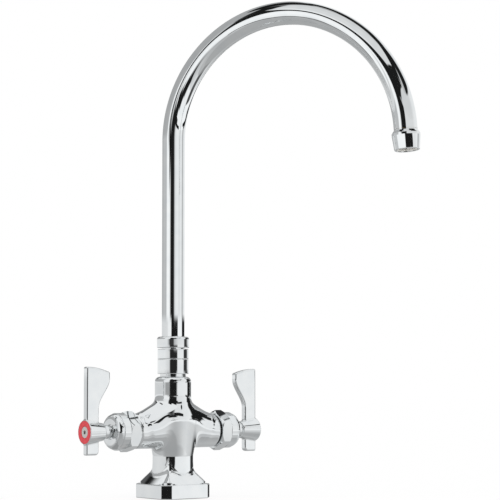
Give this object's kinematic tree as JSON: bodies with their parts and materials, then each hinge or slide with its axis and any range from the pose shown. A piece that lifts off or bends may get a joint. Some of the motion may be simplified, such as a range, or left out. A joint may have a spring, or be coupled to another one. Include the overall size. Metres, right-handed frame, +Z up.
{
  "type": "two-handle pantry faucet",
  "caption": "Deck-mounted chrome pantry faucet with a square base, hot and cold blade handles on side bonnets and a tall swivelling gooseneck spout with an aerator.",
  "frame": {"origin": "centre of the base's underside, on the deck plane and on the axis of the spout and the mounting shank", "axes": "+Z up along the spout's riser; the valve axis runs along X with the hot handle at -X and the cold handle at +X; the front of the faucet faces -Y"},
  "size_m": [0.2012, 0.2136, 0.4618],
  "materials": {
    "chrome": "polished chrome plate on brass or zinc",
    "brass": "machined brass, unplated",
    "rubber": "moulded black rubber",
    "white_nylon": "moulded white nylon",
    "ceramic": "lapped white alumina",
    "zinc_steel": "zinc-plated steel",
    "stainless": "stainless steel",
    "red_enamel": "gloss red index ring",
    "blue_enamel": "gloss blue index ring"
  },
  "bodies": {
    "base": {"faucet_body": "chrome", "deck_gasket": "rubber", "mounting_shank": "brass", "rubber_washer": "rubber", "steel_washer": "zinc_steel", "lock_nut": "brass", "swivel_adapter": "chrome", "adapter_seal": "rubber", "lower_glide_washer": "white_nylon", "upper_glide_washer": "white_nylon", "spout_nut": "chrome", "hot_bonnet": "chrome", "hot_cartridge": "brass", "hot_fixed_disc": "ceramic", "hot_seat_seal": "rubber", "hot_bonnet_washer": "rubber", "cold_bonnet": "chrome", "cold_cartridge": "brass", "cold_fixed_disc": "ceramic", "cold_seat_seal": "rubber", "cold_bonnet_washer": "rubber"},
    "spout": {"gooseneck_tube": "chrome", "spout_ferrule": "brass", "spout_o_rings": "rubber", "trim_collar": "chrome", "outlet_adapter": "brass", "aerator_shell": "chrome", "aerator_gasket": "rubber", "aerator_insert": "white_nylon", "aerator_screen": "stainless"},
    "hot_handle": {"hot_handle": "chrome", "hot_index_ring": "red_enamel", "hot_handle_screw": "stainless", "hot_stem": "brass", "hot_moving_disc": "ceramic", "hot_stem_o_rings": "rubber"},
    "cold_handle": {"cold_handle": "chrome", "cold_index_ring": "blue_enamel", "cold_handle_screw": "stainless", "cold_stem": "brass", "cold_moving_disc": "ceramic", "cold_stem_o_rings": "rubber"}
  },
  "joints": [
    {"name": "spout_swivel", "type": "hinge", "parent": "base", "child": "spout", "pos_m": [0, 0, 0.11], "axis": [0, 0, 1], "continuous": true},
    {"name": "hot_valve", "type": "hinge", "parent": "base", "child": "hot_handle", "pos_m": [-0.07, 0, 0.056], "axis": [1, 0, 0], "range_deg": [0, 90]},
    {"name": "cold_valve", "type": "hinge", "parent": "base", "child": "cold_handle", "pos_m": [0.07, 0, 0.056], "axis": [1, 0, 0], "range_deg": [0, 90]}
  ]
}
